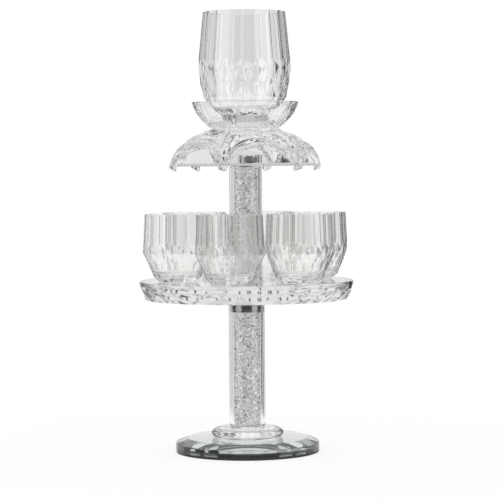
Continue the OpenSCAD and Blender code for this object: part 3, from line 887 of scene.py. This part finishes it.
def bored(shape, cutter, name):
    """A shape with the holes of a second shape taken out, as points and faces."""
    objects = []
    for label, (points, faces) in (("whole", shape), ("cutter", cutter)):
        mesh = bpy.data.meshes.new(name + "_" + label)
        mesh.from_pydata(points.tolist(), [], faces)
        objects.append(bpy.data.objects.new(name + "_" + label, mesh))
        bpy.context.scene.collection.objects.link(objects[-1])
    whole, tool = objects
    cut = whole.modifiers.new("holes", "BOOLEAN")
    cut.operation = "DIFFERENCE"
    cut.solver = "EXACT"
    cut.object = tool
    bpy.context.view_layer.update()
    result = bpy.data.meshes.new_from_object(whole.evaluated_get(bpy.context.evaluated_depsgraph_get()))
    points = np.empty(3 * len(result.vertices))
    result.vertices.foreach_get("co", points)
    faces = [list(face.vertices) for face in result.polygons]
    for extra in objects:
        mesh = extra.data
        bpy.data.objects.remove(extra)
        bpy.data.meshes.remove(mesh)
    bpy.data.meshes.remove(result)
    return points.reshape(-1, 3), faces


def drain_shape():
    """Upright pegs where the drain holes go, one over each spout."""
    peg = turned([(0, -1), (DRAIN_RADIUS, -1), (DRAIN_RADIUS, 12), (0, 12)], 24)
    angles = FIRST_SPOUT + TURN * np.arange(SPOUTS) / SPOUTS
    return joined(*[moved(peg, (DRAIN_RING * math.cos(a), DRAIN_RING * math.sin(a), 0)) for a in angles])


bowl_points, bowl_faces = bored(turned(bowl_section(), 144), drain_shape(), "bowl")
bowl_foot = (bowl_points[:, 2] < FOOT_TOP) & (np.hypot(bowl_points[:, 0], bowl_points[:, 1]) < FOOT_RADIUS)
bowl = add_piece("bowl", raised((bowl_points, bowl_faces), BOWL_Z), BOWL_GLASS, "bowl", ["bowl"],
                 crease=35)
mark(bowl, "frost", bowl_foot)
seat = turned([(0, LIFT), (14.9, LIFT), (15.3, 0.4), (15.3, 3.7), (14.9, 4.1), (0, 4.1)], 96)
add_piece("bowl_seat", raised(seat, SEAT_Z), FROSTED, "bowl", ["bowl_seat"], crease=40)


# CAD nodes that stay, with their finishes

def finish_node(node, material):
    """Gives a carried-over node its material."""
    node_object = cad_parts[node]
    node_object.data.materials.clear()
    node_object.data.materials.append(material)


for node in ("foot_seal", "tray_seal_lower", "tray_seal_upper", "plate_seal", "top_washer"):
    finish_node(node, SEAL)
finish_node("base_felt", FELT)


# Floor, light and camera

VIEW_AZIMUTH = 12.5
# Share of the floor's look that is plain white to the camera; the rest keeps the shadow
FLOOR_WHITE = 0.75
# Brightness that glass and metal see round the horizon, from the backdrop (0) to the camera (1)
BACKDROP = ((0.012, 0.8), (0.022, 1.0), (0.042, 1.0), (0.05, 0.6), (0.058, 0.6), (0.066, 0.9), (0.086, 0.8),
            (0.093, 0.01), (0.128, 0.01), (0.134, 0.8), (0.142, 0.8), (0.149, 0.01), (0.196, 0.01),
            (0.204, 0.95), (0.23, 0.95), (0.238, 0.01), (0.29, 0.01), (0.3, 0.8), (0.34, 0.8), (0.36, 0.2),
            (0.4, 0.2), (0.43, 0.04), (0.54, 0.04), (0.58, 1.0), (0.76, 1.0), (0.82, 0.06))
# The same for light that goes straight through and was never reflected: bright on the camera's side too
SEEN_THROUGH = BACKDROP[:19] + ((0.36, 0.35), (0.4, 0.35), (0.43, 0.9), (0.66, 0.9), (0.67, 0.4),
                                (0.69, 0.4), (0.7, 0.9))


def add_floor():
    """Plain white floor under the felt."""
    half = 0.19
    mesh = bpy.data.meshes.new("floor")
    corners = [(-half, -half, 0), (half, -half, 0), (half, half, 0), (-half, half, 0)]
    mesh.from_pydata(corners, [], [(0, 1, 2, 3)])
    floor = bpy.data.objects.new("floor", mesh)
    bpy.context.scene.collection.objects.link(floor)
    material, tree, shader = new_material("white_floor")
    shader["Base Color"].default_value = (0.98, 0.98, 0.98, 1)
    shader["Roughness"].default_value = 1
    shader["Specular IOR Level"].default_value = 0
    path = tree.nodes.new("ShaderNodeLightPath").outputs
    white = tree.nodes.new("ShaderNodeEmission").outputs["Emission"]
    share = reckon(tree, "MULTIPLY", path["Is Camera Ray"], FLOOR_WHITE)
    matt = tree.nodes["Principled BSDF"].outputs["BSDF"]
    look = add_node(tree, "ShaderNodeMixShader", {"Fac": share, 1: matt, 2: white}).outputs["Shader"]
    tree.links.new(look, tree.nodes["Material Output"].inputs["Surface"])
    mesh.materials.append(material)


def add_ramp(tree, place, stops, first, last):
    """Grey of a place on a ramp with smooth steps between its stops."""
    node = add_node(tree, "ShaderNodeValToRGB", {"Fac": place})
    ramp = node.color_ramp
    ramp.interpolation = "EASE"
    ramp.elements[0].color = (first, first, first, 1)
    ramp.elements[1].color = (last, last, last, 1)
    for position, value in stops:
        stop = ramp.elements.new(position)
        stop.color = (value, value, value, 1)
    return node.outputs["Color"]


def add_world():
    """White surroundings, and what glass and metal see of a studio.

    That is a pale backdrop with dark strips, dark sides and two bright lamps beside the camera, lighter
    behind on the left and white overhead. Light that goes straight through sees a pale wall instead of the
    dark sides and the dark round the camera, and white from lower down.
    """
    world = bpy.data.worlds.new("studio")
    bpy.context.scene.world = world
    world.use_nodes = True
    tree = world.node_tree
    path = tree.nodes.new("ShaderNodeLightPath").outputs
    direction = tree.nodes.new("ShaderNodeTexCoord").outputs["Generated"]
    sockets = {"Vector": direction, "Rotation": (0, 0, -math.radians(VIEW_AZIMUTH))}
    facing = add_node(tree, "ShaderNodeMapping", sockets, vector_type="POINT")
    way = add_node(tree, "ShaderNodeSeparateXYZ", {"Vector": facing.outputs["Vector"]}).outputs
    compass = reckon(tree, "ARCTAN2", way["X"], way["Y"])
    half_turns = reckon(tree, "DIVIDE", reckon(tree, "ABSOLUTE", compass), math.pi)
    straight = reckon(tree, "LESS_THAN", path["Glossy Depth"], 0.5)
    reflected_wall = add_ramp(tree, half_turns, BACKDROP, 0.8, 0.05)
    straight_wall = add_ramp(tree, half_turns, SEEN_THROUGH, 0.8, 0.9)
    wall = blend(tree, straight, reflected_wall, straight_wall)
    left = rescale(tree, way["X"], 0.05, -0.35, 0.0, 0.45, "SMOOTHSTEP")
    behind = rescale(tree, half_turns, 0.42, 0.34)
    lighter = blend(tree, reckon(tree, "MULTIPLY", left, behind), wall, WHITE)
    steep = reckon(tree, "ABSOLUTE", way["Z"])
    overhead = rescale(tree, steep, 0.25, 0.6, curve="SMOOTHSTEP")
    low_sky = rescale(tree, steep, 0.12, 0.25, curve="SMOOTHSTEP")
    sky = reckon(tree, "MAXIMUM", overhead, reckon(tree, "MULTIPLY", straight, low_sky))
    studio = blend(tree, sky, lighter, WHITE)
    bent = reckon(tree, "MAXIMUM", path["Is Glossy Ray"], path["Is Transmission Ray"])
    never_matt = reckon(tree, "SUBTRACT", bent, path["Diffuse Depth"], use_clamp=True)
    background = tree.nodes["Background"].inputs
    tree.links.new(blend(tree, never_matt, WHITE, studio), background["Color"])
    background["Strength"].default_value = 1


def add_camera():
    """Long lens at the photograph's height and side, aimed a little below its own height."""
    distance, height, aim_z, aside, lean = 1.413, 0.195, 0.137, 0.0026, math.radians(-0.47)
    a = math.radians(VIEW_AZIMUTH)
    data = bpy.data.cameras.new("camera")
    data.lens = 150
    data.sensor_width = 36
    camera = bpy.data.objects.new("camera", data)
    bpy.context.scene.collection.objects.link(camera)
    camera.location = (distance * math.sin(a), -distance * math.cos(a), height)
    drop = math.atan2(height - aim_z, distance)
    swing = math.atan2(aside, distance)
    aim = Euler((math.pi / 2 - drop, 0, a - swing)).to_matrix() @ Matrix.Rotation(lean, 3, "Z")
    camera.rotation_euler = aim.to_euler()
    bpy.context.scene.camera = camera


add_floor()
add_world()
add_camera()
scene = bpy.context.scene
scene.view_settings.view_transform = "Standard"
scene.cycles.max_bounces = 32
scene.cycles.transmission_bounces = 32
scene.cycles.glossy_bounces = 12
scene.cycles.diffuse_bounces = 12
scene.cycles.blur_glossy = 0
